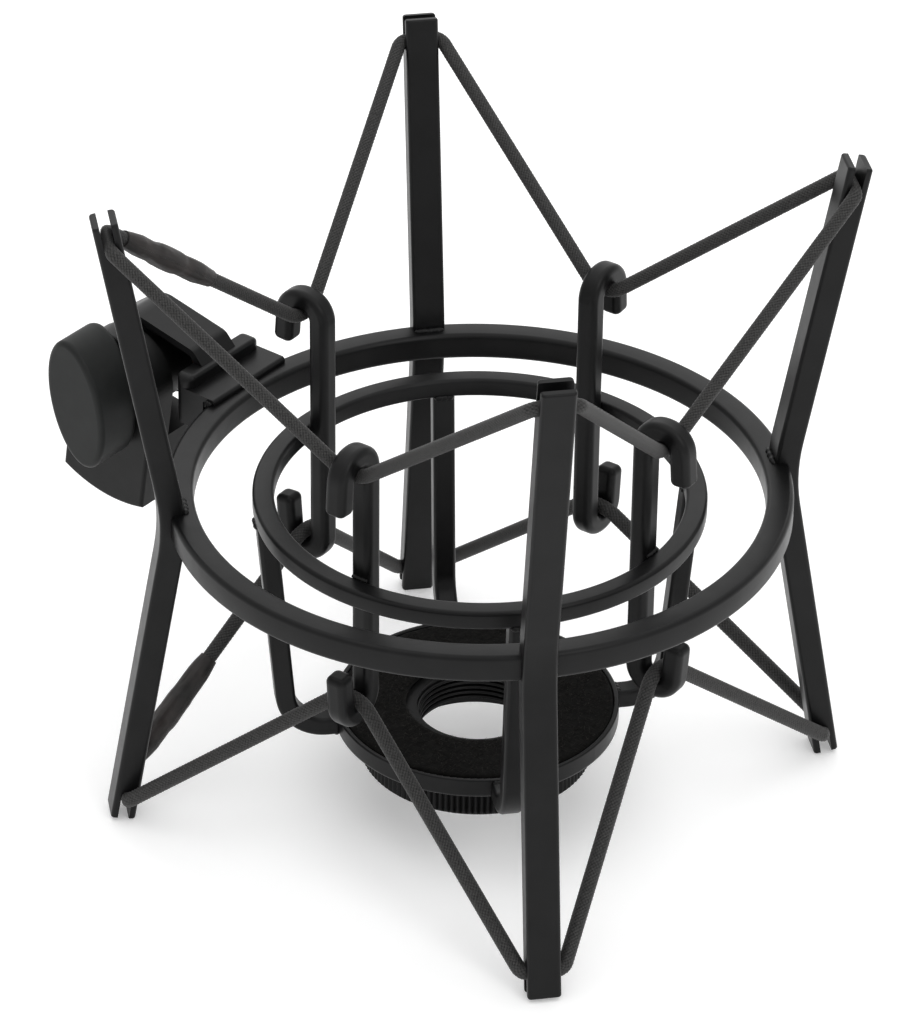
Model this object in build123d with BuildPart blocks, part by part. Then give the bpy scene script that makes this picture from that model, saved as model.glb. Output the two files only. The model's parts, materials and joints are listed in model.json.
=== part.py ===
"""Spider shock mount for a large condenser microphone.

Millimetres, +Z up. The origin is the middle of the microphone thread, at the thread's top face.
-X is the side of the stand swivel, called the rear. The mount stands on its four legs.
"""
from build123d import *
from math import atan, cos, pi, radians, sin
import os

os.makedirs("parts", exist_ok=True)

# ---- outer frame -------------------------------------------------------------------------
ring_height = 53.2            # middle of the outer ring above the thread
outer_ring_radius = 65.0      # outside of the outer ring
outer_bar_width = 5.7         # radial
outer_bar_height = 6.1
outer_bar_edge = 1.1          # edge rounding

leg_width = 7.0               # along the ring
leg_thickness = 5.3           # radial
leg_edge = 0.8
leg_reach_waist = 64.5        # centre line of a leg at the ring
leg_reach_tip = 76.6          # centre line of a leg at its ends
leg_half_height = 71.9        # centre line, ring to end
leg_bend_radius = 45.0
fork_gap = 2.4
fork_depth = 6.8
tip_rounding = 0.5
weld_gap = 0.02               # air left between welded pieces, filled by the weld
slide_gap = 0.05              # air between pieces that slide or clamp together

# ---- cradle ------------------------------------------------------------------------------
inner_ring_radius = 47.2      # outside of the inner ring
inner_bar_width = 4.5
inner_bar_height = 4.2
inner_bar_edge = 0.9
inner_ring_height = ring_height - 0.45

hook_width = 4.8              # along the ring
hook_thickness = 4.6          # radial
hook_edge = 1.5
hook_pitch = 8.4              # between the two sides of a hook, centre to centre
hook_reach = inner_ring_radius - inner_bar_width - hook_thickness / 2 - slide_gap
hook_top = ring_height + 31.5        # centre line of the upper hook's crown
hook_bottom = ring_height - 29.75    # centre line of the lower hook's crown
hook_upper_tip = ring_height + 20.6
hook_lower_tip = ring_height - 18.15
hook_tip_flare = 0.8
hook_bend_radius = hook_pitch / 2 - slide_gap
hook_tip_rounding = 1.4

arm_width = 4.8
arm_thickness = 4.2
arm_edge = 0.9
arm_reach_top = 45.0
arm_reach_foot = 40.6
arm_foot_height = -0.9        # centre line of an arm where it runs in to the base plate
arm_bend_radius = 9.0

plate_radius = 30.3
plate_top = 1.7               # top of the rim
plate_bottom = -2.8
plate_recess_radius = 29.2
plate_recess_floor = 0.1
plate_bore_radius = 17.3
clip_recess_radius = 19.6
clip_recess_floor = -1.3
plate_rim_edge = 0.35
plate_lower_edge = 1.0

felt_outer_radius = 29.05
felt_inner_radius = 15.1
felt_bottom = 0.15
felt_top = 1.9

# ---- locking ring, which screws on to the microphone -------------------------------------
lock_radius = 24.8
lock_bottom = -11.3
lock_top = plate_bottom - 2 * slide_gap
lock_neck_radius = 17.2
lock_thread_radius = 12.75    # root of the internal thread
lock_thread_bottom = -7.6
lock_counterbore_radius = 17.2
lock_rib_count = 120
lock_rib_depth = 0.4
clip_groove_radius = 16.6
clip_groove_bottom = -1.2
clip_groove_top = -0.35
clip_outer_radius = 19.3
clip_opening = 9.0
lock_edge = 0.5

# ---- elastic cords -----------------------------------------------------------------------
upper_cord_diameter = 3.05
lower_cord_diameter = 3.25
cord_seat_depth = 5.2         # cord centre below a leg's end, along the leg
cord_exit_reach = leg_width / 2 + 1.2
cord_exit_radius = 2.6
cord_hook_radius = 8.0
cord_hook_clearance = 0.8
cord_hook_inset = 0.35        # the cord lies this far inside the hook's middle
cord_end_gap = 0.3
sleeve_start = 5.5            # from the turn beside the leg
upper_sleeve_diameter = 5.3
upper_sleeve_length = 28.0
lower_sleeve_diameter = 5.5
lower_sleeve_length = 26.0
sleeve_clearance = 0.02

# ---- stand swivel ------------------------------------------------------------------------
# Built square to X and Y, then turned about the upright axis to where it is welded on.
swivel_turn = -2.7            # degrees about +Z
socket_swing = 8.3            # degrees the stand socket hangs outward of straight down
saddle_length = 23.5          # along Y
saddle_inner = -61.8          # inner edge of the flanges
saddle_outer = -73.0
saddle_flange = 1.3
saddle_ridge_front = -68.6
saddle_ridge_height = 4.1     # ridge top above the ring's top
saddle_edge = 0.8
saddle_ridge_corner = 2.0     # rounding of the ridge's two upper ends

pivot_x = -88.6
pivot_z = ring_height
strap_near = -6.0             # Y of the strap's edge on the knob's side
strap_far = 5.0
strap_thickness = 1.6
strap_foot = (-70.2, 6.2)     # centre line of the bent strap: X, and height above the ring's middle
strap_knee = (-73.0, 9.4)
strap_crest = (-89.6, 12.9)
strap_nose = (-94.6, 9.9)
strap_knee_radius = 2.4
strap_crest_radius = 5.5
strap_corner = 4.5
ear_thickness = 2.0
ear_radius = 9.6
ear_root_depth = 4.2

bolt_radius = 3.0
bolt_tip_y = -22.3
bolt_head_flats = 10.0
bolt_head_height = 3.6
bolt_head_edge = 0.4
bolt_tip_chamfer = 0.6
running_clearance = 0.06
friction_washer_radius = 8.5
friction_washer_thickness = 0.7

socket_half_width = 11.2
socket_near = -13.75          # Y of the face behind the knob
socket_head_back = -7.0       # Y where the wide head steps in to the hub
socket_back = 5.0
socket_hub_radius = 8.8
socket_hub_end = 2.2
socket_foot_radius = 30.2     # the foot is an arc about the pivot
socket_block_top = 11.4       # the deep block starts this far below the pivot
socket_edge = 0.8
stand_thread_radius = 7.94    # root of the 5/8 inch internal thread
stand_thread_y = (socket_near + socket_back) / 2
stand_face_depth = 28.0       # machined face around the thread, below the pivot
stand_face_radius = 9.0
stand_thread_length = 15.5

knob_half_length = 14.95
knob_half_width = 7.25
knob_tilt = 11.4              # of the knob's long axis from vertical
knob_front = -26.4
knob_back = -14.15
knob_front_edge = 1.2
knob_back_edge = 2.2
knob_insert_radius = 4.5
knob_insert_front = -23.2
knob_blind_end = -23.4
thrust_washer_radius = 8.0
thrust_washer_front = -13.9
thrust_washer_back = -12.9
thrust_recess_radius = 8.2
thrust_recess_floor = -12.85

leg_angles = {"front_left": 45, "rear_left": 135, "rear_right": 225, "front_right": 315}
hook_angles = {"front": 0, "left": 90, "rear": 180, "right": 270}


def radial_plane(angle):
    """Upright plane through the axis: its x runs outward at this angle, its y runs up."""
    turn = radians(angle)
    return Plane(origin=(0, 0, 0), x_dir=(cos(turn), sin(turn), 0), z_dir=(sin(turn), -cos(turn), 0))


def section_plane(plane, path):
    """Plane across a path's start, with its x in the radial plane that holds the path."""
    along = path % 0
    return Plane(origin=path @ 0, x_dir=along.cross(plane.z_dir), z_dir=along)


def turned(piece):
    """A piece of the swivel, turned about the upright axis to its place on the ring."""
    return piece.rotate(Axis.Z, swivel_turn)


def save(piece, label):
    """Label a finished piece and write it to its own file."""
    piece.label = label
    export_step(piece, f"parts/{label}.step")


def rolled_bar(outer_radius, width, height, edge, middle):
    """A flat bar rolled to a closed ring, with its edges rounded."""
    with BuildPart() as ring:
        with BuildSketch(Plane.XZ):
            with Locations((outer_radius - width / 2, middle)):
                RectangleRounded(width, height, edge)
        revolve(axis=Axis.Z)
    return ring.part


def make_leg(angle):
    """A kinked flat bar, notched over the outer ring and forked at both ends."""
    plane = radial_plane(angle)
    kink = leg_bend_radius * (1 / cos(atan((leg_reach_tip - leg_reach_waist) / leg_half_height)) - 1)
    waist = leg_reach_waist - kink
    with BuildPart() as leg:
        with BuildLine(plane) as path:
            FilletPolyline(
                (leg_reach_tip, ring_height - leg_half_height),
                (waist, ring_height),
                (leg_reach_tip, ring_height + leg_half_height),
                radius=leg_bend_radius,
            )
        with BuildSketch(section_plane(plane, path.line)):
            RectangleRounded(leg_thickness, leg_width, leg_edge)
        sweep(path=path.line)
        for end in (0, 1):
            along = path.line % end
            tip = leg.faces().sort_by(Axis.Z)[-1 if end else 0]
            fillet(tip.edges(), tip_rounding)
            with BuildSketch(Plane(origin=path.line @ end, x_dir=along, z_dir=plane.z_dir)):
                SlotOverall(2 * fork_depth, fork_gap)
            extrude(amount=leg_width, both=True, mode=Mode.SUBTRACT)
        with BuildSketch(Plane.XZ):
            with Locations((outer_ring_radius - outer_bar_width / 2, ring_height)):
                RectangleRounded(
                    outer_bar_width + 2 * weld_gap,
                    outer_bar_height + 2 * weld_gap,
                    outer_bar_edge,
                )
        revolve(axis=Axis.Z, mode=Mode.SUBTRACT)
    return leg.part


def make_hook_bar(angle):
    """A square bar with a hook turned outward at each end."""
    plane = radial_plane(angle)
    tip_reach = hook_reach + hook_pitch
    with BuildPart() as bar:
        with BuildLine(plane) as path:
            FilletPolyline(
                (tip_reach + hook_tip_flare, hook_lower_tip),
                (tip_reach, hook_bottom),
                (hook_reach, hook_bottom),
                (hook_reach, hook_top),
                (tip_reach, hook_top),
                (tip_reach + hook_tip_flare, hook_upper_tip),
                radius=hook_bend_radius,
            )
        with BuildSketch(section_plane(plane, path.line)):
            RectangleRounded(hook_thickness, hook_width, hook_edge)
        sweep(path=path.line)
        for end in (0, 1):
            tip_face = bar.faces().sort_by_distance(path.line @ end)[0]
            fillet(tip_face.edges(), hook_tip_rounding)
    return bar.part


def make_cage_arm(angle):
    """A bar welded under the inner ring that runs down and turns in to the base plate."""
    plane = radial_plane(angle)
    ring_underside = inner_ring_height - inner_bar_height / 2
    with BuildPart() as arm:
        with BuildLine(plane) as path:
            FilletPolyline(
                (arm_reach_top, ring_underside + 1),
                (arm_reach_foot, arm_foot_height),
                (plate_radius + weld_gap, arm_foot_height),
                radius=arm_bend_radius,
            )
        with BuildSketch(section_plane(plane, path.line)):
            RectangleRounded(arm_thickness, arm_width, arm_edge)
        sweep(path=path.line)
        split(bisect_by=Plane.XY.offset(ring_underside - weld_gap), keep=Keep.BOTTOM)
    return arm.part


def cord_route(side, diameter):
    """Corner points of a cord that zigzags between the leg forks and the hooks, and its radii.

    side is 1 for the upper cord and -1 for the lower one. The route starts and ends halfway along
    the sleeve, on the strand from the rear right leg to the rear hook.
    """
    lean = (leg_reach_tip - leg_reach_waist) / leg_half_height
    seat_drop = cord_seat_depth * cos(atan(lean))
    seat_reach = leg_reach_tip - cord_seat_depth * sin(atan(lean))
    seat_height = ring_height + side * (leg_half_height - seat_drop)
    crown = hook_top if side > 0 else hook_bottom
    hook_middle = crown - side * hook_bend_radius
    slack = hook_pitch / 2 - hook_thickness / 2 - diameter / 2 - cord_hook_clearance
    lowest_reach = hook_reach + hook_pitch / 2 - cord_hook_inset
    lowest_height = hook_middle + side * slack
    rise = abs(seat_height - lowest_height)
    run = seat_reach * sin(radians(45))
    half_turn = atan(rise / run)
    corner_drop = cord_hook_radius * (1 / cos(half_turn) - 1)
    corners = []
    radii = []
    for quarter in range(4):
        hook = radians(180 + 90 * quarter)
        leg = radians(225 + 90 * quarter)
        outward = Vector(cos(leg), sin(leg), 0)
        along = Vector(-sin(leg), cos(leg), 0)
        seat = outward * seat_reach + Vector(0, 0, seat_height)
        corners.append(Vector(cos(hook), sin(hook), 0) * lowest_reach
                       + Vector(0, 0, lowest_height - side * corner_drop))
        corners.append(seat - along * cord_exit_reach)
        corners.append(seat + along * cord_exit_reach)
        radii += [cord_hook_radius, cord_exit_radius, cord_exit_radius]
    return corners, radii


def make_cord(side, diameter, sleeve_length):
    """The cord as one plain tube whose two ends face each other inside the sleeve."""
    corners, radii = cord_route(side, diameter)
    rear_hook, rear_leg = corners[0], corners[1]
    strand = (rear_hook - rear_leg).normalized()
    joint = rear_leg + strand * (sleeve_start + sleeve_length / 2)
    first = joint - strand * (cord_end_gap / 2)
    last = joint + strand * (cord_end_gap / 2)
    points = [first] + corners[1:] + [rear_hook, last]
    with BuildPart() as cord:
        with BuildLine() as path:
            FilletPolyline(*points, radius=radii[1:] + [radii[0]])
        with BuildSketch(Plane(origin=path.line @ 0, z_dir=path.line % 0)):
            Circle(diameter / 2)
        sweep(path=path.line)
    length = sum(edge.length for edge in path.edges())
    section = pi * (diameter / 2) ** 2
    print("cord length", round(length, 1), "volume over section x length",
          round(cord.part.volume / (section * length), 5))
    return cord.part


def make_sleeve(side, cord_diameter, diameter, length):
    """A straight tube shrunk over the cord's joined ends."""
    corners, _ = cord_route(side, cord_diameter)
    strand = (corners[0] - corners[1]).normalized()
    with BuildPart() as sleeve:
        with BuildSketch(Plane(origin=corners[1] + strand * sleeve_start, z_dir=strand)):
            Circle(diameter / 2)
            Circle(cord_diameter / 2 + sleeve_clearance, mode=Mode.SUBTRACT)
        extrude(amount=length)
    return sleeve.part


# ---- outer frame -------------------------------------------------------------------------
save(rolled_bar(outer_ring_radius, outer_bar_width, outer_bar_height, outer_bar_edge, ring_height),
     "outer_ring")

for place, angle in leg_angles.items():
    save(make_leg(angle), f"leg_{place}")

save(make_cord(1, upper_cord_diameter, upper_sleeve_length), "upper_cord")
save(make_cord(-1, lower_cord_diameter, lower_sleeve_length), "lower_cord")
save(make_sleeve(1, upper_cord_diameter, upper_sleeve_diameter, upper_sleeve_length), "upper_sleeve")
save(make_sleeve(-1, lower_cord_diameter, lower_sleeve_diameter, lower_sleeve_length), "lower_sleeve")

# ---- cradle ------------------------------------------------------------------------------
save(rolled_bar(inner_ring_radius, inner_bar_width, inner_bar_height, inner_bar_edge,
                inner_ring_height), "inner_ring")

for place, angle in hook_angles.items():
    save(make_hook_bar(angle), f"hook_bar_{place}")

for place, angle in leg_angles.items():
    save(make_cage_arm(angle), f"cage_arm_{place}")

with BuildPart() as base_plate:
    with BuildSketch(Plane.XZ):
        with BuildLine():
            Polyline(
                (plate_bore_radius, plate_bottom),
                (plate_radius, plate_bottom),
                (plate_radius, plate_top),
                (plate_recess_radius, plate_top),
                (plate_recess_radius, plate_recess_floor),
                (clip_recess_radius, plate_recess_floor),
                (clip_recess_radius, clip_recess_floor),
                (plate_bore_radius, clip_recess_floor),
                close=True,
            )
        make_face()
    revolve(axis=Axis.Z)
    fillet(base_plate.edges().filter_by(GeomType.CIRCLE).group_by(Axis.Z)[-1],
           plate_rim_edge)
    fillet(base_plate.edges().filter_by(GeomType.CIRCLE).group_by(Axis.Z)[0].sort_by(SortBy.RADIUS)[-1],
           plate_lower_edge)
save(base_plate.part, "base_plate")

with BuildPart() as felt_washer:
    with BuildSketch(Plane.XY.offset(felt_bottom)):
        Circle(felt_outer_radius)
        Circle(felt_inner_radius, mode=Mode.SUBTRACT)
    extrude(amount=felt_top - felt_bottom)
save(felt_washer.part, "felt_washer")

# ---- locking ring ------------------------------------------------------------------------
with BuildPart() as locking_ring:
    with BuildSketch(Plane.XZ):
        with BuildLine():
            Polyline(
                (lock_thread_radius, lock_thread_bottom),
                (lock_counterbore_radius, lock_thread_bottom),
                (lock_counterbore_radius, lock_bottom),
                (lock_radius, lock_bottom),
                (lock_radius, lock_top),
                (lock_neck_radius, lock_top),
                (lock_neck_radius, clip_groove_bottom),
                (clip_groove_radius, clip_groove_bottom),
                (clip_groove_radius, clip_groove_top),
                (lock_neck_radius, clip_groove_top),
                (lock_neck_radius, 0),
                (lock_thread_radius, 0),
                close=True,
            )
        make_face()
    revolve(axis=Axis.Z)
    rim = locking_ring.edges().filter_by(GeomType.CIRCLE).group_by(SortBy.RADIUS)[-1]
    chamfer(rim, lock_edge)
    with BuildSketch(Plane.XY.offset(lock_bottom)):
        with PolarLocations(lock_radius, lock_rib_count):
            Rectangle(2 * lock_rib_depth, 2 * lock_rib_depth, rotation=45)
    extrude(amount=lock_top - lock_bottom, mode=Mode.SUBTRACT)
save(locking_ring.part, "locking_ring")

with BuildPart() as retaining_clip:
    with BuildSketch(Plane.XY.offset(clip_groove_bottom + slide_gap)):
        Circle(clip_outer_radius)
        Circle(clip_groove_radius + slide_gap, mode=Mode.SUBTRACT)
        with Locations((clip_outer_radius, 0)):
            Rectangle(2 * (clip_outer_radius - clip_groove_radius) + 2, clip_opening, mode=Mode.SUBTRACT)
    extrude(amount=clip_groove_top - clip_groove_bottom - 2 * slide_gap)
save(retaining_clip.part, "retaining_clip")

# ---- stand swivel ------------------------------------------------------------------------
flange_in = ring_height + outer_bar_height / 2 + slide_gap
flange_out = flange_in + saddle_flange
flange_in_low = 2 * ring_height - flange_in
flange_out_low = 2 * ring_height - flange_out
ridge_top = ring_height + outer_bar_height / 2 + saddle_ridge_height
with BuildPart() as ring_saddle:
    with BuildSketch(Plane.XZ):
        with BuildLine():
            Polyline(
                (saddle_inner, flange_in),
                (saddle_inner, flange_out),
                (saddle_ridge_front, flange_out),
                (saddle_ridge_front, ridge_top),
                (saddle_outer, ridge_top),
                (saddle_outer, flange_out_low),
                (saddle_inner, flange_out_low),
                (saddle_inner, flange_in_low),
                (-outer_ring_radius - slide_gap, flange_in_low),
                (-outer_ring_radius - slide_gap, flange_in),
                close=True,
            )
        make_face()
    extrude(amount=saddle_length / 2, both=True)
    long_edges = ring_saddle.edges().filter_by(Axis.Y)
    fillet(long_edges.group_by(Axis.Z)[-1] + long_edges.group_by(Axis.X)[-1].group_by(Axis.Z)[-1],
           saddle_edge)
    ridge_ends = ring_saddle.edges().filter_by(Axis.X).group_by(Axis.Z)[-1]
    fillet(ridge_ends, saddle_ridge_corner)
save(turned(ring_saddle.part), "ring_saddle")


strap_points = [(x, ring_height + height) for x, height in
                (strap_foot, strap_knee, strap_crest, strap_nose)]
strap_middle = Plane.XZ.offset(-(strap_near + strap_far) / 2)
ear_joint_x = saddle_outer - weld_gap
with BuildPart() as swivel_yoke:
    with BuildLine(strap_middle) as strap_path:
        FilletPolyline(*strap_points, radius=[strap_knee_radius, strap_crest_radius])
    with BuildSketch(section_plane(strap_middle, strap_path.line)):
        Rectangle(strap_thickness, strap_far - strap_near)
    sweep(path=strap_path.line)
    nose = swivel_yoke.faces().sort_by(Axis.X)[0]
    fillet(nose.edges().filter_by(Axis.Y, reverse=True), strap_corner)
    with BuildSketch(Plane.XZ.offset(-saddle_length / 2)):
        with Locations(((saddle_inner + saddle_outer) / 2, ring_height)):
            Rectangle(
                saddle_inner - saddle_outer + 2 * weld_gap,
                2 * (ridge_top - ring_height + weld_gap),
            )
    extrude(amount=saddle_length, mode=Mode.SUBTRACT)
    with BuildSketch(Plane.XZ.offset(-strap_far)):
        with BuildLine():
            Polyline(
                (ear_joint_x, ring_height + strap_knee[1]),
                (ear_joint_x, ring_height - ear_root_depth),
                (pivot_x, pivot_z - ear_radius),
                (pivot_x, ring_height + strap_crest[1] - strap_thickness / 2),
                close=True,
            )
        make_face()
        with Locations((pivot_x, pivot_z)):
            Circle(ear_radius)
    extrude(amount=ear_thickness)
    with BuildSketch(Plane.XZ.offset(-strap_far)):
        with Locations((pivot_x, pivot_z)):
            Circle(bolt_radius + running_clearance)
    extrude(amount=ear_thickness, mode=Mode.SUBTRACT)
save(turned(swivel_yoke.part), "swivel_yoke")

with BuildPart() as pivot_bolt:
    with BuildSketch(Plane.XZ.offset(-strap_far - slide_gap)):
        with Locations((pivot_x, pivot_z)):
            RegularPolygon(bolt_head_flats / 2, 6, major_radius=False)
    extrude(amount=-bolt_head_height)
    fillet(pivot_bolt.faces().sort_by(Axis.Y)[-1].edges(), bolt_head_edge)
    with BuildSketch(Plane.XZ.offset(-strap_far - slide_gap)):
        with Locations((pivot_x, pivot_z)):
            Circle(bolt_radius)
    extrude(amount=strap_far + slide_gap - bolt_tip_y)
    chamfer(pivot_bolt.faces().sort_by(Axis.Y)[0].edges(), bolt_tip_chamfer)
save(turned(pivot_bolt.part), "pivot_bolt")

ear_near = strap_far - ear_thickness
with BuildPart() as friction_washer:
    with BuildSketch(Plane.XZ.offset(-ear_near + slide_gap)):
        with Locations((pivot_x, pivot_z)):
            Circle(friction_washer_radius)
            Circle(bolt_radius + running_clearance, mode=Mode.SUBTRACT)
    extrude(amount=friction_washer_thickness)
save(turned(friction_washer.part), "friction_washer")

with BuildPart() as stand_socket:
    with BuildSketch(Plane.XZ.offset(-socket_head_back)):
        with Locations((pivot_x, pivot_z)):
            Circle(socket_foot_radius)
        with Locations((pivot_x, pivot_z - socket_foot_radius / 2)):
            Rectangle(2 * socket_half_width, socket_foot_radius, mode=Mode.INTERSECT)
        with Locations((pivot_x, pivot_z)):
            Circle(socket_half_width)
    extrude(amount=socket_head_back - socket_near)
    with BuildSketch(Plane.XZ.offset(-socket_back)):
        with Locations((pivot_x, pivot_z)):
            Circle(socket_foot_radius)
        with Locations((pivot_x, pivot_z - (socket_foot_radius + socket_block_top) / 2)):
            Rectangle(2 * socket_half_width, socket_foot_radius - socket_block_top, mode=Mode.INTERSECT)
    extrude(amount=socket_back - socket_head_back)
    fillet(stand_socket.faces().sort_by(Axis.Y)[0].edges(), socket_edge)
    fillet(stand_socket.faces().sort_by(Axis.Y)[-1].edges(), socket_edge)
    with BuildSketch(Plane.XZ.offset(-socket_hub_end)):
        with Locations((pivot_x, pivot_z)):
            Circle(socket_hub_radius)
    extrude(amount=socket_hub_end - socket_head_back)
    with BuildSketch(Plane.XZ.offset(-socket_hub_end)):
        with Locations((pivot_x, pivot_z)):
            Circle(bolt_radius + running_clearance)
    extrude(amount=socket_hub_end - socket_near, mode=Mode.SUBTRACT)
    with BuildSketch(Plane.XZ.offset(-thrust_recess_floor)):
        with Locations((pivot_x, pivot_z)):
            Circle(thrust_recess_radius)
    extrude(amount=thrust_recess_floor - socket_near, mode=Mode.SUBTRACT)
    with BuildSketch(Plane.XY.offset(pivot_z - stand_face_depth)):
        with Locations((pivot_x, stand_thread_y)):
            Circle(stand_face_radius)
    extrude(amount=-stand_face_depth, mode=Mode.SUBTRACT)
    with BuildSketch(Plane.XY.offset(pivot_z - stand_face_depth)):
        with Locations((pivot_x, stand_thread_y)):
            Circle(stand_thread_radius)
    extrude(amount=stand_thread_length, mode=Mode.SUBTRACT)
pivot_axis = Axis((pivot_x, 0, pivot_z), (0, 1, 0))
save(turned(stand_socket.part.rotate(pivot_axis, socket_swing)), "stand_socket")

# ---- tension knob ------------------------------------------------------------------------
with BuildPart() as tension_knob:
    with BuildSketch(Plane.XZ.offset(-knob_back)):
        with Locations((pivot_x, pivot_z)):
            Ellipse(knob_half_width, knob_half_length, rotation=knob_tilt)
    extrude(amount=knob_back - knob_front)
    fillet(tension_knob.faces().sort_by(Axis.Y)[0].edges(), knob_front_edge)
    fillet(tension_knob.faces().sort_by(Axis.Y)[-1].edges(), knob_back_edge)
    with BuildSketch(Plane.XZ.offset(-knob_back)):
        with Locations((pivot_x, pivot_z)):
            Circle(knob_insert_radius)
    extrude(amount=knob_back - knob_blind_end, mode=Mode.SUBTRACT)
save(turned(tension_knob.part), "tension_knob")

with BuildPart() as knob_insert:
    with BuildSketch(Plane.XZ.offset(-knob_back)):
        with Locations((pivot_x, pivot_z)):
            Circle(knob_insert_radius - weld_gap)
            Circle(bolt_radius + running_clearance, mode=Mode.SUBTRACT)
    extrude(amount=knob_back - knob_insert_front)
save(turned(knob_insert.part), "knob_insert")

with BuildPart() as thrust_washer:
    with BuildSketch(Plane.XZ.offset(-thrust_washer_back)):
        with Locations((pivot_x, pivot_z)):
            Circle(thrust_washer_radius)
            Circle(bolt_radius + running_clearance, mode=Mode.SUBTRACT)
    extrude(amount=thrust_washer_back - thrust_washer_front)
save(turned(thrust_washer.part), "thrust_washer")
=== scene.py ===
"""Looks of the spider shock mount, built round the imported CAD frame. Metres, +Z up."""
import json
import random
from math import atan, ceil, cos, hypot, pi, radians, sin, tan

import bpy
import numpy as np
from mathutils import Matrix, Vector, noise


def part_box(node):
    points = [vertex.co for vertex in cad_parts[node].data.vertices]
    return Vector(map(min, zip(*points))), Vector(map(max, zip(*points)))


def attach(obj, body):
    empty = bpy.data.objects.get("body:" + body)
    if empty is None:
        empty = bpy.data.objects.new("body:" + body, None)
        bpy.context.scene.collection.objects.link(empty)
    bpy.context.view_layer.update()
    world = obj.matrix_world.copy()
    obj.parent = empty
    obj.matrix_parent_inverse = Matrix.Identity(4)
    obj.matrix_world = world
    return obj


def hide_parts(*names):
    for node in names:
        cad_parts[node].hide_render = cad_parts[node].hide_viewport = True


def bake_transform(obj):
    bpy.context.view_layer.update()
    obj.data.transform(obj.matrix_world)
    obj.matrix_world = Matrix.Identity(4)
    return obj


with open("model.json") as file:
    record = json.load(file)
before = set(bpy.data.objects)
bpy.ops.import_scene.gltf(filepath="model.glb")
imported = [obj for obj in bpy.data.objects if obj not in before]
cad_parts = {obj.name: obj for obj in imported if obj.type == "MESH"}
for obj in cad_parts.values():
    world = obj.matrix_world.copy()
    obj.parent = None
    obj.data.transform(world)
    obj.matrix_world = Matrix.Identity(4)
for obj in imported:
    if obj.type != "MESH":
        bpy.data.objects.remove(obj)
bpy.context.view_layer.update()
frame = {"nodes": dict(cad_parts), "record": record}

MM = 0.001
UP = Vector((0, 0, 1))

# ---- places taken from the frame ------------------------------------------------------------
ring_low, ring_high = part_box("outer_ring")
RING_Z = (ring_low.z + ring_high.z) / 2
RING_TOP = ring_high.z
RING_BOTTOM = ring_low.z
FLOOR_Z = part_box("leg_front_left")[0].z

LEG_ANGLES = {"front_left": 45, "rear_left": 135, "rear_right": 225, "front_right": 315}
HOOK_ANGLES = {"front": 0, "left": 90, "rear": 180, "right": 270}


def radial(angle, reach, height):
    """The point at this angle in degrees round the axis, this far out and this high."""
    return Vector((cos(radians(angle)) * reach, sin(radians(angle)) * reach, height))


def tangent(angle):
    """Unit vector along the ring at this angle in degrees."""
    return Vector((-sin(radians(angle)), cos(radians(angle)), 0))


# ---- material helpers -----------------------------------------------------------------------
class Material:
    """A node material with short ways to add and wire nodes."""

    def __init__(self, name, color, roughness, **sockets):
        self.material = bpy.data.materials.new(name)
        self.material.use_nodes = True
        self.nodes = self.material.node_tree.nodes
        self.links = self.material.node_tree.links
        self.shader = self.nodes["Principled BSDF"]
        self.shader.inputs["Base Color"].default_value = (*color, 1)
        self.shader.inputs["Roughness"].default_value = roughness
        for socket, value in sockets.items():
            self.shader.inputs[socket.replace("_", " ")].default_value = value

    def add(self, kind, inputs=None, **settings):
        node = self.nodes.new("ShaderNode" + kind)
        for key, value in settings.items():
            setattr(node, key, value)
        for key, value in (inputs or {}).items():
            if isinstance(value, bpy.types.NodeSocket):
                self.links.new(value, node.inputs[key])
            else:
                node.inputs[key].default_value = value
        return node

    def place(self):
        return self.add("TexCoord").outputs["Object"]

    def stretched(self, source, scale):
        return self.add("Mapping", {"Vector": source, "Scale": scale}).outputs["Vector"]

    def noise(self, source, size, detail=2.0, rough=0.5):
        """Noise whose features are about this size in metres."""
        node = self.add("TexNoise", {"Vector": source, "Scale": 1 / size, "Detail": detail,
                                     "Roughness": rough})
        return node.outputs["Fac"]

    def ramp(self, source, low, high, dark, light):
        """Maps low..high of the source to dark..light colours."""
        node = self.add("ValToRGB", {"Fac": source})
        stops = node.color_ramp.elements
        stops[0].position, stops[1].position = low, high
        stops[0].color, stops[1].color = (*dark, 1), (*light, 1)
        return node.outputs["Color"]

    def spread(self, source, low, high):
        """Maps 0..1 of the source to low..high."""
        node = self.add("MapRange", {"Value": source, "To Min": low, "To Max": high})
        return node.outputs["Result"]

    def bump(self, source, depth, strength=1.0, under=None):
        inputs = {"Height": source, "Distance": depth, "Strength": strength}
        if under is not None:
            inputs["Normal"] = under
        return self.add("Bump", inputs).outputs["Normal"]

    def wire(self, socket, source):
        self.links.new(source, self.shader.inputs[socket])


def powder_coat(name, color, roughness, grain=0.55 * MM, depth=0.012 * MM):
    """Satin powder coat: a fine orange peel, faint cloudiness and softly varying gloss."""
    m = Material(name, color, roughness, Specular_IOR_Level=0.2)
    place = m.place()
    cloud = m.noise(place, 9 * MM, 3)
    peel = m.noise(place, grain, 2)
    specks = m.noise(place, 0.16 * MM, 1)
    dark = tuple(c * 0.75 for c in color)
    light = tuple(c * 1.3 for c in color)
    m.wire("Base Color", m.ramp(cloud, 0.35, 0.65, dark, light))
    m.wire("Roughness", m.spread(m.noise(place, 3 * MM, 3), roughness - 0.06, roughness + 0.06))
    coarse = m.bump(peel, depth, 0.5)
    m.wire("Normal", m.bump(specks, depth * 0.4, 0.4, coarse))
    return m.material


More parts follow.
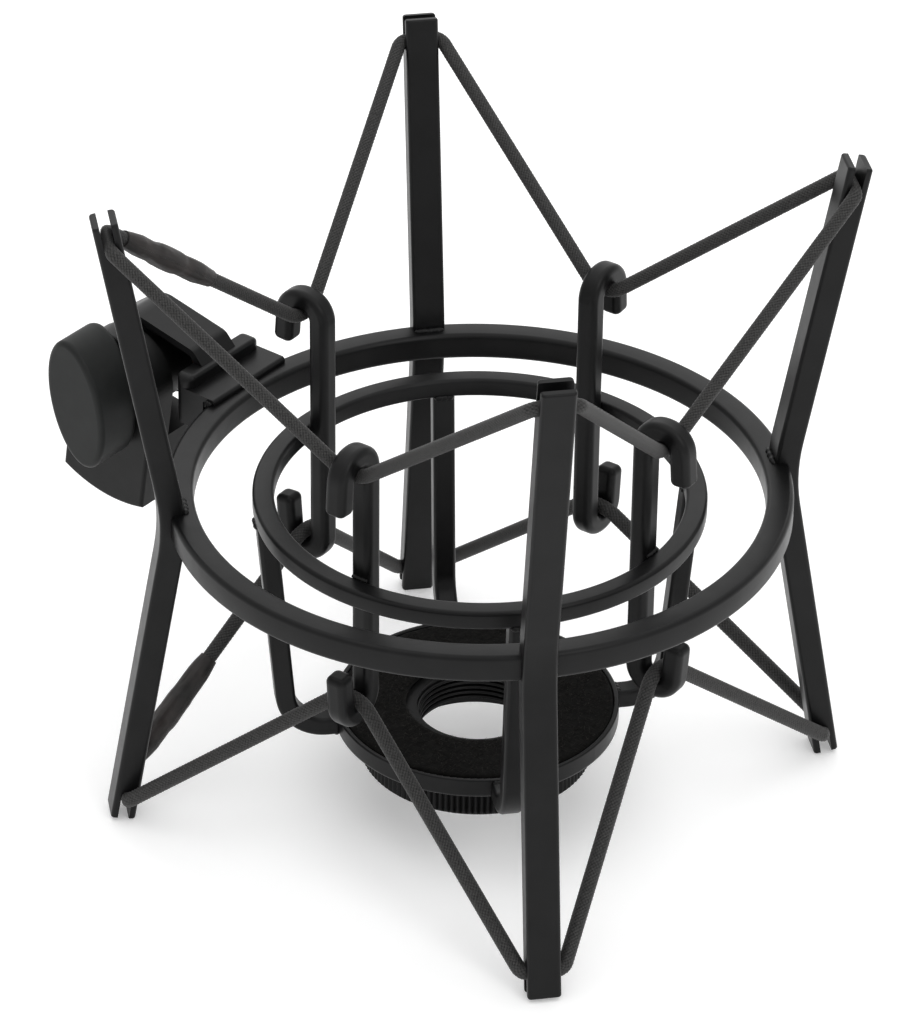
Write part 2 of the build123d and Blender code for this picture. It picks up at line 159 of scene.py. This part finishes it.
def braid_material():
    """Textile braid: the mesh carries the strands; painted shade darkens the crossings and a painted
    highlight lightens the strand tops.
    """
    m = Material("braided_elastic", (0.008, 0.008, 0.008), 0.62, Sheen_Weight=0.12,
                 Sheen_Roughness=0.45, Specular_IOR_Level=0.3)
    relief = m.add("Attribute", attribute_name="relief").outputs["Fac"]
    place = m.place()
    fluff = m.noise(place, 0.3 * MM, 3)
    mixed = m.add("Math", {0: relief, 1: fluff}, operation="MULTIPLY").outputs[0]
    # painted shade and painted highlight: the braid height darkens the crossings and lightens the
    # strand tops, with random fibre tone mixed in
    m.wire("Base Color", m.ramp(mixed, 0.10, 0.50, (0.001, 0.001, 0.001),
                                (0.046, 0.045, 0.044)))
    m.wire("Normal", m.bump(m.noise(place, 0.12 * MM, 2), 0.05 * MM, 0.6))
    return m.material


def shrink_material():
    """Heat-shrink tube: soft semi-gloss with creases along it."""
    m = Material("heat_shrink", (0.010, 0.009, 0.009), 0.40, Specular_IOR_Level=0.4)
    place = m.place()
    uv = m.add("UVMap").outputs["UV"]
    creases = m.noise(m.stretched(uv, (0.22, 0.45, 1.0)), 0.9, 3)
    m.wire("Base Color", m.ramp(m.noise(place, 4 * MM, 3), 0.3, 0.7,
                                (0.007, 0.006, 0.0056), (0.024, 0.0185, 0.017)))
    m.wire("Roughness", m.spread(m.noise(place, 2.5 * MM, 3), 0.32, 0.56))
    soft = m.bump(creases, 0.14 * MM, 0.8)
    m.wire("Normal", m.bump(m.noise(place, 0.3 * MM, 2), 0.02 * MM, 0.5, soft))
    return m.material


def felt_material(name, dark, light):
    """Needled felt: matted fibres, no gloss."""
    m = Material(name, dark, 0.95, Sheen_Weight=0.03, Sheen_Roughness=0.6,
                 Specular_IOR_Level=0.05)
    place = m.place()
    matted = m.noise(m.stretched(place, (1.0, 0.35, 1.0)), 0.5 * MM, 4, 0.7)
    crossed = m.noise(m.stretched(place, (0.3, 1.0, 1.0)), 0.4 * MM, 4, 0.7)
    mixed = m.add("Math", {0: matted, 1: crossed}, operation="MULTIPLY").outputs[0]
    m.wire("Base Color", m.ramp(mixed, 0.18, 0.42, dark, light))
    m.wire("Normal", m.bump(mixed, 0.25 * MM, 0.8))
    return m.material


def bare_metal(name, color, roughness, brushed=(1.0, 1.0, 1.0)):
    """Plain metal with fine tool marks and faint staining."""
    m = Material(name, color, roughness, Metallic=1.0)
    place = m.place()
    marks = m.noise(m.stretched(place, brushed), 0.4 * MM, 4, 0.65)
    m.wire("Roughness", m.spread(marks, roughness - 0.08, roughness + 0.12))
    m.wire("Base Color", m.ramp(m.noise(place, 5 * MM, 3), 0.3, 0.7,
                                tuple(c * 0.8 for c in color), color))
    m.wire("Normal", m.bump(marks, 0.01 * MM, 0.6))
    return m.material


def moulded_plastic(name, color, roughness):
    """Spark-eroded mould finish: a fine even pebble."""
    m = Material(name, color, roughness, Specular_IOR_Level=0.25)
    place = m.place()
    pebble = m.add("TexVoronoi", {"Vector": place, "Scale": 1 / (0.28 * MM)}).outputs["Distance"]
    m.wire("Base Color", m.ramp(m.noise(place, 6 * MM, 3), 0.3, 0.7,
                                tuple(c * 0.85 for c in color), tuple(c * 1.2 for c in color)))
    m.wire("Roughness", m.spread(m.noise(place, 2 * MM, 2), roughness - 0.05, roughness + 0.05))
    m.wire("Normal", m.bump(pebble, 0.012 * MM, 0.5))
    return m.material


COAT = powder_coat("satin_powder_coat", (0.0042, 0.0042, 0.0044), 0.36)
MATERIALS = {
    "powder_black": COAT,
    "cast_black": powder_coat("cast_enamel", (0.0055, 0.0056, 0.0056), 0.44, 0.9 * MM, 0.02 * MM),
    "ring_black": powder_coat("knurled_black", (0.004, 0.004, 0.0042), 0.34, 0.4 * MM),
    "bolt_black": bare_metal("black_oxide", (0.05, 0.05, 0.055), 0.42),
    "elastic_cord": braid_material(),
    "shrink_tube": shrink_material(),
    "felt": felt_material("needled_felt", (0.0018, 0.0018, 0.0016), (0.0085, 0.008, 0.0072)),
    "fibre": felt_material("pressed_fibre", (0.05, 0.035, 0.025), (0.14, 0.10, 0.07)),
    "spring_steel": bare_metal("spring_steel", (0.55, 0.55, 0.56), 0.3),
    "knob_black": moulded_plastic("knob_moulding", (0.0095, 0.0103, 0.0100), 0.48),
    "brass": bare_metal("turned_brass", (0.66, 0.48, 0.22), 0.3, (1.0, 6.0, 1.0)),
    "plated_steel": bare_metal("zinc_plate", (0.60, 0.61, 0.63), 0.32),
}
FIBRES = felt_material("felt_fibres", (0.004, 0.0037, 0.0035), (0.06, 0.055, 0.050))

slot_of = {row["node"]: row["material_slot"] for row in frame["record"]["subparts"]}
for node_name, node in frame["nodes"].items():
    node.data.materials.clear()
    node.data.materials.append(MATERIALS[slot_of[node_name]])


# ---- mesh helpers ---------------------------------------------------------------------------
def new_piece(name, points, faces, slot, body=None, material=None, uvs=None):
    """A smooth mesh piece with its slot's material, riding on a body when one is given."""
    mesh = bpy.data.meshes.new(name)
    mesh.from_pydata([tuple(p) for p in points], [], [tuple(f) for f in faces])
    mesh.validate()
    mesh.polygons.foreach_set("use_smooth", [True] * len(mesh.polygons))
    if uvs is not None:
        layer = mesh.uv_layers.new(name="UVMap")
        corner_points = np.zeros(len(mesh.loops), int)
        mesh.loops.foreach_get("vertex_index", corner_points)
        layer.data.foreach_set("uv", np.asarray(uvs, float)[corner_points].ravel())
    mesh.materials.append(material or MATERIALS[slot])
    mesh.update()
    piece = bpy.data.objects.new(name, mesh)
    bpy.context.scene.collection.objects.link(piece)
    if body:
        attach(piece, body)
    return piece


def grid_faces(rows, columns, first=0):
    """Quads of a grid whose columns close round, in row order."""
    row, column = np.meshgrid(np.arange(rows - 1), np.arange(columns), indexing="ij")
    here = first + row * columns + column
    beside = first + row * columns + (column + 1) % columns
    return np.stack([here, beside, beside + columns, here + columns], -1).reshape(-1, 4)


def carried_frames(path):
    """Unit tangents and two normals carried along a path without twist."""
    path = np.asarray(path, float)
    along = np.gradient(path, axis=0)
    along /= np.linalg.norm(along, axis=1)[:, None]
    side = np.zeros_like(path)
    start = np.cross(along[0], (0, 0, 1))
    side[0] = start / np.linalg.norm(start)
    for i in range(1, len(path)):
        carried = side[i - 1] - along[i] * (side[i - 1] @ along[i])
        side[i] = carried / np.linalg.norm(carried)
    return along, side, np.cross(along, side)


def rounded_route(corners, radii, step):
    """Points at about this step along straight runs joined by arcs at the inner corners."""
    points = []
    last = corners[0]
    for i in range(1, len(corners) - 1):
        before = (corners[i - 1] - corners[i]).normalized()
        after = (corners[i + 1] - corners[i]).normalized()
        half = before.angle(after) / 2
        radius = radii[i - 1]
        cut = radius / tan(half)
        enter = corners[i] + before * cut
        count = max(2, ceil((enter - last).length / step))
        points += [last.lerp(enter, k / count) for k in range(count)]
        centre = corners[i] + (before + after).normalized() * (radius / sin(half))
        out = (enter - centre).normalized()
        turn_axis = out.cross(-before).normalized()
        turn = pi - 2 * half
        count = max(3, ceil(radius * turn / step))
        for k in range(count):
            points.append(centre + Matrix.Rotation(turn * k / count, 3, turn_axis) @ out * radius)
        last = corners[i] + after * cut
    count = max(2, ceil((corners[-1] - last).length / step))
    points += [last.lerp(corners[-1], k / count) for k in range(count + 1)]
    return points


# ---- elastic cords --------------------------------------------------------------------------
LEG_WIDTH = 7.0 * MM
FORK_GAP = 2.4 * MM
TIP_REACH = 76.6 * MM
WAIST_REACH = 64.5 * MM
LEG_LEAN = (TIP_REACH - WAIST_REACH) / (71.9 * MM)
SEAT_DEPTH = 5.2 * MM
EXIT_REACH = LEG_WIDTH / 2 + 0.9 * MM
EXIT_RADIUS = 2.4 * MM
HOOK_CORNER_RADIUS = 7.0 * MM
HOOK_REACH = 40.35 * MM
HOOK_PITCH = 8.4 * MM
HOOK_THICKNESS = 4.6 * MM
HOOK_BEND = 4.15 * MM
SLEEVE_START = 5.5 * MM
STRANDS = 12
CORD_SIDES = 48
CORD_STEP = 0.24 * MM
BRAID_DEPTH = 0.24 * MM       # from a strand's top to the bottom of a crossing
SLEEVE_WRINKLE = 0.22 * MM

CORDS = {
    "upper": {"side": 1, "diameter": 3.05 * MM, "crown": RING_Z + 31.5 * MM,
              "sleeve_diameter": 5.3 * MM, "sleeve_length": 28 * MM},
    "lower": {"side": -1, "diameter": 3.25 * MM, "crown": RING_Z - 29.75 * MM,
              "sleeve_diameter": 5.5 * MM, "sleeve_length": 26 * MM},
}


def cord_corners(cord):
    """Corner points and radii of one cord, from the rear hook round and back to it."""
    side = cord["side"]
    seat_reach = TIP_REACH - SEAT_DEPTH * sin(atan(LEG_LEAN))
    seat_height = RING_Z + side * (71.9 * MM - SEAT_DEPTH * cos(atan(LEG_LEAN)))
    slack = HOOK_PITCH / 2 - HOOK_THICKNESS / 2 - cord["diameter"] / 2
    lowest_reach = HOOK_REACH + HOOK_PITCH / 2
    lowest = cord["crown"] - side * (HOOK_BEND - slack + 0.25 * MM)
    half_turn = atan(abs(seat_height - lowest) / (seat_reach * sin(radians(45))))
    corner = lowest - side * HOOK_CORNER_RADIUS * (1 / cos(half_turn) - 1)
    corners, radii = [], []
    for quarter in range(4):
        leg = 225 + 90 * quarter
        seat = radial(leg, seat_reach, seat_height)
        corners += [radial(180 + 90 * quarter, lowest_reach, corner),
                    seat - tangent(leg) * EXIT_REACH, seat + tangent(leg) * EXIT_REACH]
        radii += [HOOK_CORNER_RADIUS, EXIT_RADIUS, EXIT_RADIUS]
    return corners, radii, seat_height


def braid_height(turn, along, circumference):
    """Height from 0 to 1 of a two-way braid at these turns round and metres along."""
    lean = along / circumference
    one = STRANDS * (turn + lean)
    other = STRANDS * (turn - lean)
    over = (np.floor(one) + np.floor(other)) % 2 == 0
    across = np.where(over, one, other)
    beside = np.where(over, other, one)
    rounded = np.abs(np.sin(pi * (across % 1)))
    dive = np.abs(np.sin(pi * (beside % 1)))
    return 0.55 * rounded + 0.45 * dive


def squeezed(path, seats):
    """How much a fork squeezes the cord at each path point, and the outward direction there."""
    amount = np.zeros(len(path))
    outward = np.tile(np.array((1.0, 0, 0)), (len(path), 1))
    for seat, out, tang in seats:
        offset = path - seat
        near = np.linalg.norm(offset, axis=1) < 12 * MM
        reach = np.abs(offset @ tang)
        fade = np.clip((LEG_WIDTH / 2 + 1.2 * MM - reach) / (1.6 * MM), 0, 1)
        share = np.where(near, fade * fade * (3 - 2 * fade), 0)
        outward[share > 0] = out
        amount = np.maximum(amount, share)
    return amount, outward


def make_cord(name, cord):
    """The braided cord as one tube, flattened where the forks grip it."""
    corners, radii, seat_height = cord_corners(cord)
    strand = (corners[0] - corners[1]).normalized()
    joint = corners[1] + strand * (SLEEVE_START + cord["sleeve_length"] / 2)
    route = [joint - strand * 0.2 * MM] + corners[1:] + [corners[0], joint + strand * 0.2 * MM]
    path = np.array(rounded_route(route, radii[1:] + [radii[0]], CORD_STEP))
    _, side, up = carried_frames(path)
    distance = np.concatenate([[0], np.cumsum(np.linalg.norm(np.diff(path, axis=0), axis=1))])
    radius = cord["diameter"] / 2
    turns = np.arange(CORD_SIDES) / CORD_SIDES
    turn, far = np.meshgrid(turns, distance)
    relief = braid_height(turn, far, 2 * pi * radius)
    reach = radius - BRAID_DEPTH * (1 - relief)
    angle = 2 * pi * turn
    offset = (side[:, None, :] * (np.cos(angle) * reach)[..., None]
              + up[:, None, :] * (np.sin(angle) * reach)[..., None])
    seats = [(np.array(radial(a, TIP_REACH - SEAT_DEPTH * LEG_LEAN, seat_height)),
              np.array(radial(a, 1, 0)), np.array(tangent(a))) for a in LEG_ANGLES.values()]
    grip, outward = squeezed(path, seats)
    flat = FORK_GAP / cord["diameter"]
    outward_part = np.einsum("ijk,ik->ij", offset, outward)
    pressed = 1 - grip[:, None] * (1 - flat)
    swell = 1 + grip[:, None] * 0.14
    across = outward[:, None, :] * outward_part[..., None]
    offset = (offset - across) * swell[..., None] + across * pressed[..., None]
    points = (path[:, None, :] + offset).reshape(-1, 3)
    faces = grid_faces(len(path), CORD_SIDES)
    uvs = np.stack([far * 1000, turn * 2 * pi * radius * 1000], -1).reshape(-1, 2)
    piece = new_piece(f"{name}_cord_braid", points, faces, "elastic_cord", uvs=uvs)
    # the braid height is also kept as an attribute, which the material turns into painted shade in
    # the crossings and a painted highlight on the tops
    heights = piece.data.attributes.new("relief", "FLOAT", "POINT")
    heights.data.foreach_set("value", relief.ravel())
    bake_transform(piece)
    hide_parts(f"{name}_cord")
    return corners, seat_height


def make_sleeve(name, cord, corners):
    """Heat-shrink tube: drawn in at both ends, dented over the cord ends inside, lips curled."""
    rng = random.Random(5 if name == "upper" else 9)
    strand = (corners[0] - corners[1]).normalized()
    start = corners[1] + strand * SLEEVE_START
    length = cord["sleeve_length"]
    rows, sides = 150, 40
    path = np.array([start + strand * (length * i / (rows - 1)) for i in range(rows)])
    _, side, up = carried_frames(path)
    full = cord["sleeve_diameter"] / 2
    tight = cord["diameter"] / 2 + 0.28 * MM
    far = np.linspace(0, 1, rows)
    ends = np.clip(np.minimum(far, 1 - far) / 0.16, 0, 1)
    body = tight + (full - tight) * ends ** 0.6
    step_one = 0.22 * MM / (1 + np.exp(-(far - 0.62) * 90))
    step_two = 0.26 * MM / (1 + np.exp((far - 0.34) * 90))
    body = body - step_one - step_two
    lip = 0.22 * MM * (np.exp(-far * 70) + np.exp(-(1 - far) * 70))
    points, uvs = [], []
    shift = rng.uniform(0, 50)
    for i in range(rows):
        for j in range(sides):
            angle = 2 * pi * j / sides
            place = Vector((cos(angle) * 1.9, sin(angle) * 1.9, far[i] * 4.5 + shift))
            wrinkle = noise.noise(place) * SLEEVE_WRINKLE
            fine = noise.noise(place * 2.7) * 0.07 * MM
            flat = 0.16 * MM * cos(2 * angle + 0.6) * ends[i]
            reach = body[i] + lip[i] + (wrinkle + fine) * ends[i] + flat
            points.append(path[i] + side[i] * cos(angle) * reach + up[i] * sin(angle) * reach)
            uvs.append((far[i] * length * 1000, j))
    inner = tight - 0.2 * MM
    for i in (rows - 1, 0):
        for j in range(sides):
            angle = 2 * pi * j / sides
            points.append(path[i] + side[i] * cos(angle) * inner + up[i] * sin(angle) * inner)
            uvs.append((far[i] * length * 1000, j))
    faces = grid_faces(rows, sides).tolist()
    last, far_lip, near_lip = (rows - 1) * sides, rows * sides, (rows + 1) * sides
    for j in range(sides):
        k = (j + 1) % sides
        faces.append((last + j, last + k, far_lip + k, far_lip + j))
        faces.append((near_lip + j, near_lip + k, k, j))
    piece = new_piece(f"{name}_shrink_tube", points, faces, "shrink_tube", uvs=uvs)
    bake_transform(piece)
    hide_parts(f"{name}_sleeve")


for cord_name, cord_facts in CORDS.items():
    cord_line, cord_seat = make_cord(cord_name, cord_facts)
    make_sleeve(cord_name, cord_facts, cord_line)


# ---- felt washer ----------------------------------------------------------------------------
felt_low, felt_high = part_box("felt_washer")
FELT_OUTER = felt_high.x
FELT_INNER = 15.1 * MM
FIBRE_COUNT = 2600


def felt_top(x, y):
    """Height of the matted top of the felt at this place."""
    place = Vector((x, y, 0)) / MM
    matted = noise.noise(place * 0.55) * 0.10 + noise.noise(place * 1.7) * 0.09
    return felt_high.z + (matted - 0.05) * MM


def make_felt():
    """The felt as a closed ring with a matted top and soft, slightly ragged edges."""
    sides, rings = 220, 26
    points = []
    reach = np.linspace(FELT_INNER, FELT_OUTER, rings)
    for r in reach:
        edge = min(r - FELT_INNER, FELT_OUTER - r) / (0.9 * MM)
        droop = 0.45 * MM * max(0, 1 - edge) ** 2
        for j in range(sides):
            angle = 2 * pi * j / sides
            ragged = noise.noise(Vector((cos(angle) * 9, sin(angle) * 9, r / MM))) * 0.12 * MM
            inside = FELT_INNER if r < (FELT_INNER + FELT_OUTER) / 2 else FELT_OUTER
            stretch = ragged if abs(r - inside) < 0.01 * MM else 0
            x = cos(angle) * (r - abs(stretch) * (1 if inside == FELT_OUTER else -1))
            y = sin(angle) * (r - abs(stretch) * (1 if inside == FELT_OUTER else -1))
            points.append((x, y, felt_top(x, y) - droop))
    for r in (FELT_OUTER - 0.1 * MM, FELT_INNER + 0.1 * MM):
        for j in range(sides):
            angle = 2 * pi * j / sides
            points.append((cos(angle) * r, sin(angle) * r, felt_low.z))
    faces = grid_faces(rings + 2, sides)[:, ::-1].tolist()
    last = (rings + 1) * sides
    for j in range(sides):
        k = (j + 1) % sides
        faces.append((last + k, last + j, j, k))
    piece = new_piece("felt_washer_matted", points, faces, "felt", "cradle")
    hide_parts("felt_washer")


def make_fibres():
    """Loose fibres lying on the felt, one mesh of thin three-sided strands."""
    rng = random.Random(21)
    points, faces = [], []
    for _ in range(FIBRE_COUNT):
        reach = rng.uniform(FELT_INNER + 0.4 * MM, FELT_OUTER - 0.6 * MM)
        angle = rng.uniform(0, 2 * pi)
        x, y = cos(angle) * reach, sin(angle) * reach
        heading = rng.gauss(radians(35), 0.9)
        curl = rng.uniform(-0.5, 0.5)
        length = rng.uniform(0.8, 3.4) * MM
        thick = rng.uniform(0.018, 0.036) * MM
        steps = 6
        lift = rng.uniform(0.0, 0.12) * MM
        first = len(points)
        for s in range(steps):
            r = hypot(x, y)
            if not FELT_INNER - 0.5 * MM < r < FELT_OUTER:
                break
            arch = lift * sin(pi * s / (steps - 1))
            z = felt_top(x, y) + arch + thick * 0.3
            normal = Vector((-sin(heading), cos(heading), 0))
            points.append(Vector((x, y, z + thick)))
            points.append(Vector((x, y, z)) + normal * thick)
            points.append(Vector((x, y, z)) - normal * thick)
            x += cos(heading) * length / steps
            y += sin(heading) * length / steps
            heading += curl / steps * 3 + rng.uniform(-0.2, 0.2)
        made = (len(points) - first) // 3
        if made < 2:
            del points[first:]
            continue
        faces += grid_faces(made, 3, first).tolist()
        faces.append((first, first + 2, first + 1))
        end = first + 3 * (made - 1)
        faces.append((end, end + 1, end + 2))
    return new_piece("felt_fibres", points, faces, "felt", "cradle", material=FIBRES)


make_felt()
make_fibres()


# ---- rolled rings ---------------------------------------------------------------------------
def make_ring(name, node, width, edge, body):
    """The node's flat-bar ring as one fine sweep, with round edges."""
    low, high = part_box(node)
    outer, sides, steps = high.x, 480, 6
    profile = []
    corners = ((outer - edge, high.z - edge, 0), (outer - width + edge, high.z - edge, 90),
               (outer - width + edge, low.z + edge, 180), (outer - edge, low.z + edge, 270))
    for x, z, start in corners:
        for k in range(steps + 1):
            angle = radians(start + 90 * k / steps)
            profile.append((x + cos(angle) * edge, z + sin(angle) * edge))
    points = []
    for r, z in profile:
        for j in range(sides):
            angle = 2 * pi * j / sides
            points.append((cos(angle) * r, sin(angle) * r, z))
    faces = grid_faces(len(profile), sides).tolist()
    last = (len(profile) - 1) * sides
    for j in range(sides):
        k = (j + 1) % sides
        faces.append((last + j, last + k, k, j))
    piece = new_piece(name, points, faces, "powder_black", body)
    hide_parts(node)


OUTER_BAR_WIDTH = 5.7 * MM
OUTER_BAR_EDGE = 1.1 * MM
INNER_BAR_WIDTH = 4.5 * MM
INNER_BAR_EDGE = 0.9 * MM
make_ring("outer_ring_smooth", "outer_ring", OUTER_BAR_WIDTH, OUTER_BAR_EDGE, "frame")
make_ring("inner_ring_smooth", "inner_ring", INNER_BAR_WIDTH, INNER_BAR_EDGE, "cradle")


# ---- threads --------------------------------------------------------------------------------
def make_thread(name, place, root, crest, pitch, low, high, slot, body):
    """The turns of an internal thread: a ridge that winds up the bore's wall."""
    sides = 96
    turns = (high - low - pitch * 0.8) / pitch
    count = int(turns * sides)
    profile = [(root + 0.02 * MM, -0.46), (crest, -0.08), (crest, 0.08), (root + 0.02 * MM, 0.46)]
    points = []
    for i in range(count + 1):
        angle = 2 * pi * i / sides
        height = low + pitch * 0.4 + pitch * i / sides
        fade = min(1, i / 14, (count - i) / 14)
        for reach, rise in profile:
            r = root + 0.02 * MM + (reach - root - 0.02 * MM) * fade
            points.append(place @ Vector((cos(angle) * r, sin(angle) * r,
                                          height + rise * pitch)))
    faces = grid_faces(count + 1, len(profile)).tolist()
    faces.append((3, 2, 1, 0))
    faces.append(tuple(count * 4 + k for k in range(4)))
    return new_piece(name, points, faces, slot, body)


MIC_ROOT = 12.75 * MM
MIC_CREST = 12.1 * MM
MIC_PITCH = 1.25 * MM
STAND_ROOT = 7.94 * MM
STAND_CREST = 7.35 * MM
STAND_PITCH = 0.94 * MM        # 27 turns to the inch
make_thread("mic_thread_turns", Matrix.Identity(4), MIC_ROOT, MIC_CREST, MIC_PITCH,
            -7.5 * MM, -0.6 * MM, "ring_black", "locking_ring")
mounts = {mount["name"]: mount for mount in frame["record"]["mounts"]}
stand = mounts["stand_thread"]
facing = Vector(stand["axis"]).to_track_quat("Z", "Y").to_matrix().to_4x4()
mouth = Matrix.Translation(stand["pos_m"]) @ facing
make_thread("stand_thread_turns", mouth, STAND_ROOT, STAND_CREST, STAND_PITCH,
            -15.0 * MM, -0.2 * MM, "cast_black", "stand_socket")


# ---- weld beads -----------------------------------------------------------------------------
def make_bead(name, start, end, radius, body, seed):
    """A short lumpy fillet of weld metal between two points."""
    rng = random.Random(seed)
    rows, sides = 26, 14
    path = [start.lerp(end, i / (rows - 1)) for i in range(rows)]
    _, side, up = carried_frames(path)
    phase = rng.uniform(0, 6)
    lumps = rng.uniform(3.2, 4.4)
    points = []
    for i in range(rows):
        t = i / (rows - 1)
        cap = max(0.02, (1 - (2 * t - 1) ** 6)) ** 0.5
        ripple = 1 + 0.10 * sin(t * lumps * 2 * pi + phase)
        for j in range(sides):
            angle = 2 * pi * j / sides
            lump = 1 + 0.16 * noise.noise(Vector((cos(angle), sin(angle), t * 5 + seed)))
            reach = radius * cap * ripple * lump
            points.append(Vector(path[i]) + Vector(side[i]) * cos(angle) * reach
                          + Vector(up[i]) * sin(angle) * reach)
    faces = grid_faces(rows, sides).tolist()
    faces.append(tuple(range(sides))[::-1])
    faces.append(tuple((rows - 1) * sides + j for j in range(sides)))
    return new_piece(name, points, faces, "powder_black", body)


LEG_INNER = WAIST_REACH - 2.65 * MM
LEG_BEAD = 0.75 * MM           # radii of the weld beads
LEG_SIDE_BEAD = 0.5 * MM
ARM_BEAD = 0.6 * MM
PLATE_BEAD = 0.65 * MM
HOOK_BEAD = 0.55 * MM
SADDLE_BEAD = 0.8 * MM
SWIVEL_TURN = radians(-2.7)
inner_low, inner_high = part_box("inner_ring")
for place_index, (place, angle) in enumerate(LEG_ANGLES.items()):
    half = tangent(angle) * (LEG_WIDTH / 2 - 0.3 * MM)
    for level, height in (("top", RING_TOP), ("under", RING_BOTTOM)):
        spot = radial(angle, LEG_INNER - 0.1 * MM, height)
        make_bead(f"weld_leg_{place}_{level}", spot - half, spot + half, LEG_BEAD, "frame",
                  place_index * 7 + len(level))
    for hand, sign in (("a", 1), ("b", -1)):
        spot = radial(angle, LEG_INNER + 1.1 * MM, 0) + tangent(angle) * sign * LEG_WIDTH / 2
        low = Vector((spot.x, spot.y, RING_BOTTOM + 0.6 * MM))
        high = Vector((spot.x, spot.y, RING_TOP - 0.4 * MM))
        shift = radial(angle, 1.0 * MM, 0)
        make_bead(f"weld_leg_{place}_side_{hand}", low + shift, high + shift, LEG_SIDE_BEAD, "frame",
                  place_index * 11 + sign)
    arm_half = tangent(angle) * 2.1 * MM
    for edge, reach in (("out", 47.0 * MM), ("in", 42.9 * MM)):
        spot = radial(angle, reach, inner_low.z)
        make_bead(f"weld_arm_{place}_{edge}", spot - arm_half, spot + arm_half, ARM_BEAD,
                  "cradle", place_index * 13 + len(edge))
    for edge, height in (("top", 0.9 * MM), ("under", -2.75 * MM)):
        spot = radial(angle, 30.4 * MM, height)
        make_bead(f"weld_plate_{place}_{edge}", spot - arm_half, spot + arm_half, PLATE_BEAD,
                  "cradle", place_index * 17 + len(edge))
for place_index, (place, angle) in enumerate(HOOK_ANGLES.items()):
    bar_half = tangent(angle) * 1.9 * MM
    for edge, height in (("top", inner_high.z), ("under", inner_low.z)):
        spot = radial(angle, 42.6 * MM, height)
        make_bead(f"weld_hook_{place}_{edge}", spot - bar_half, spot + bar_half, HOOK_BEAD,
                  "cradle", place_index * 19 + len(edge))
swivel_turn = Matrix.Rotation(SWIVEL_TURN, 3, "Z")
for hand, y in (("a", -11.8 * MM), ("b", 11.8 * MM)):
    make_bead(f"weld_saddle_{hand}", swivel_turn @ Vector((-62.4 * MM, y, RING_TOP + 0.1 * MM)),
              swivel_turn @ Vector((-64.4 * MM, y, RING_TOP + 0.1 * MM)), SADDLE_BEAD, "frame",
              3 + int(y > 0))


# ---- floor, light and camera ----------------------------------------------------------------
FLOOR_GLOW = 0.22
WORLD_LIGHT = 0.76
OVERHEAD_POWER = 14
BACK_POWER = 8.5
KEY_POWER = 5


def make_floor():
    """A wide pale floor with a faint glow of its own, like a table lit from below."""
    size = 6.0
    material = Material("pale_floor", (0.93, 0.93, 0.93), 0.8,
                        Emission_Color=(1.0, 1.0, 1.0, 1.0), Emission_Strength=FLOOR_GLOW)
    grain = material.noise(material.place(), 0.02, 2)
    material.wire("Base Color", material.ramp(grain, 0.3, 0.7, (0.925, 0.925, 0.925),
                                              (0.935, 0.935, 0.935)))
    mesh = bpy.data.meshes.new("floor")
    mesh.from_pydata([(-size, -size, FLOOR_Z), (size, -size, FLOOR_Z), (size, size, FLOOR_Z),
                      (-size, size, FLOOR_Z)], [], [(0, 1, 2, 3)])
    mesh.materials.append(material.material)
    floor = bpy.data.objects.new("floor", mesh)
    bpy.context.scene.collection.objects.link(floor)


def make_area(name, place, size, power, target=(0, 0, 0.05)):
    """A rectangular softbox that faces the target."""
    light = bpy.data.lights.new(name, "AREA")
    light.shape = "RECTANGLE"
    light.size, light.size_y = size
    light.energy = power
    lamp = bpy.data.objects.new(name, light)
    lamp.location = place
    lamp.rotation_mode = "QUATERNION"
    lamp.rotation_quaternion = (Vector(place) - Vector(target)).to_track_quat("Z", "Y")
    bpy.context.scene.collection.objects.link(lamp)


def make_camera():
    """The camera stands off at the studied azimuth and height, with its small pan and roll."""
    azimuth, elevation = radians(34.284), radians(32.428)
    distance = 1060.37 * MM
    pan, tilt, roll = radians(0.237), radians(-0.21), radians(0.868)
    back = Vector((sin(azimuth) * cos(elevation), -cos(azimuth) * cos(elevation), sin(elevation)))
    forward = -back
    right = forward.cross(UP).normalized()
    up = right.cross(forward)
    turn = Matrix.Rotation(pan, 3, up)
    forward, right = turn @ forward, turn @ right
    nod = Matrix.Rotation(tilt, 3, right)
    forward, up = nod @ forward, nod @ up
    right, up = right * cos(roll) + up * sin(roll), up * cos(roll) - right * sin(roll)
    data = bpy.data.cameras.new("camera")
    data.lens = 179.75
    data.sensor_width = 36
    data.clip_start, data.clip_end = 0.05, 20
    camera = bpy.data.objects.new("camera", data)
    camera.rotation_mode = "QUATERNION"
    camera.rotation_quaternion = Matrix((right, up, -forward)).transposed().to_quaternion()
    camera.location = Vector((0, 0, RING_Z)) + back * distance
    bpy.context.scene.collection.objects.link(camera)
    bpy.context.scene.camera = camera


make_floor()
make_area("overhead", (-0.1, 0.2, 1.7), (2.6, 2.6), OVERHEAD_POWER)
make_area("back_panel", (-1.15, 1.65, 1.25), (2.6, 1.4), BACK_POWER)
make_area("key", (1.5, -0.5, 1.3), (0.7, 1.0), KEY_POWER)
make_camera()

world = bpy.data.worlds.new("studio")
bpy.context.scene.world = world
world.use_nodes = True
world.node_tree.nodes["Background"].inputs["Color"].default_value = (1, 1, 1, 1)
world.node_tree.nodes["Background"].inputs["Strength"].default_value = WORLD_LIGHT
bpy.context.scene.view_settings.view_transform = "Standard"
